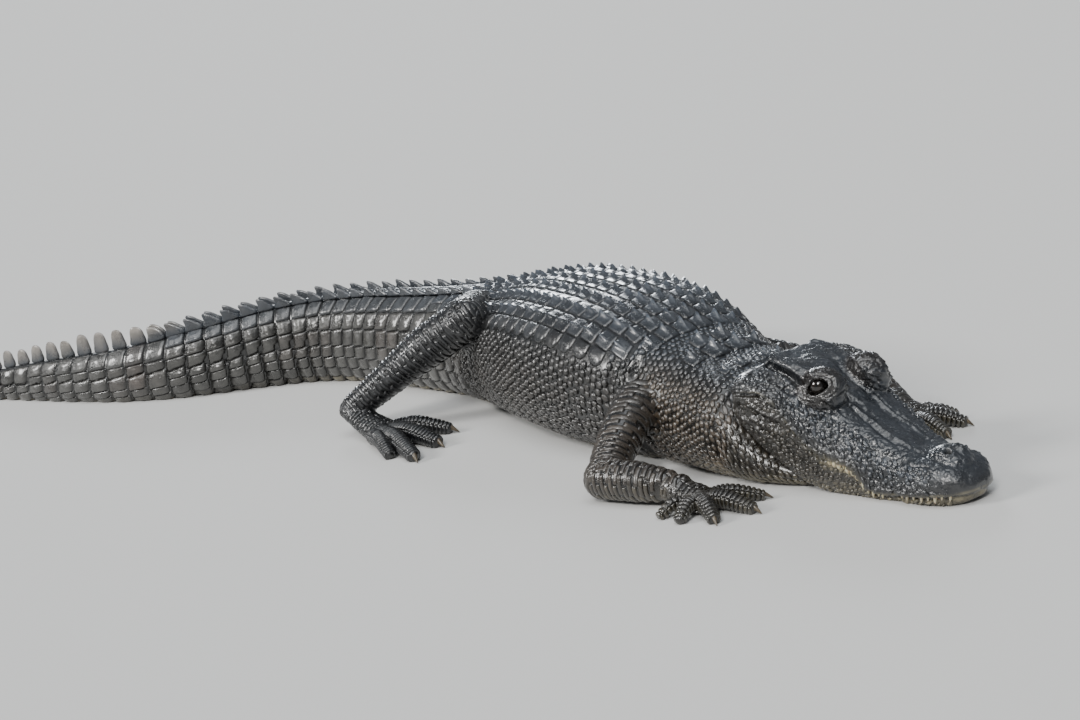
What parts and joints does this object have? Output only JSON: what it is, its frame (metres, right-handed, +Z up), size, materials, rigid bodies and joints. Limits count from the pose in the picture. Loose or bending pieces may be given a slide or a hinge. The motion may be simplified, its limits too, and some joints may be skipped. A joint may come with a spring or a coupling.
{
  "type": "american alligator",
  "caption": "Life-size still alligator lying on its belly, chin down, head turned left, tail swept right, with keeled back plates and a tall tail crest.",
  "frame": {"origin": "on the floor under the middle of the trunk, on the flat of the belly", "axes": "+X along the trunk to the front, +Y to the animal's left, +Z up"},
  "size_m": [3.1199, 1.354, 0.3117],
  "materials": {
    "head_skin": "wet, glossy slate-grey rough hide",
    "jaw_skin": "wet brown-grey hide with a cream lip edge",
    "body_skin": "wet, glossy charcoal scaled hide",
    "limb_skin": "wet near-black banded hide",
    "eye": "wet dark olive-brown eye"
  },
  "bodies": {
    "root": {"head": "head_skin", "lower_jaw": "jaw_skin", "eye_left": "eye", "eye_right": "eye", "neck": "body_skin", "torso": "body_skin", "tail_base": "body_skin", "tail_middle": "body_skin", "tail_rear": "body_skin", "tail_tip": "body_skin", "upper_arm_left": "limb_skin", "forearm_left": "limb_skin", "hand_left": "limb_skin", "thigh_left": "limb_skin", "shank_left": "limb_skin", "foot_left": "limb_skin", "upper_arm_right": "limb_skin", "forearm_right": "limb_skin", "hand_right": "limb_skin", "thigh_right": "limb_skin", "shank_right": "limb_skin", "foot_right": "limb_skin"}
  },
  "joints": []
}
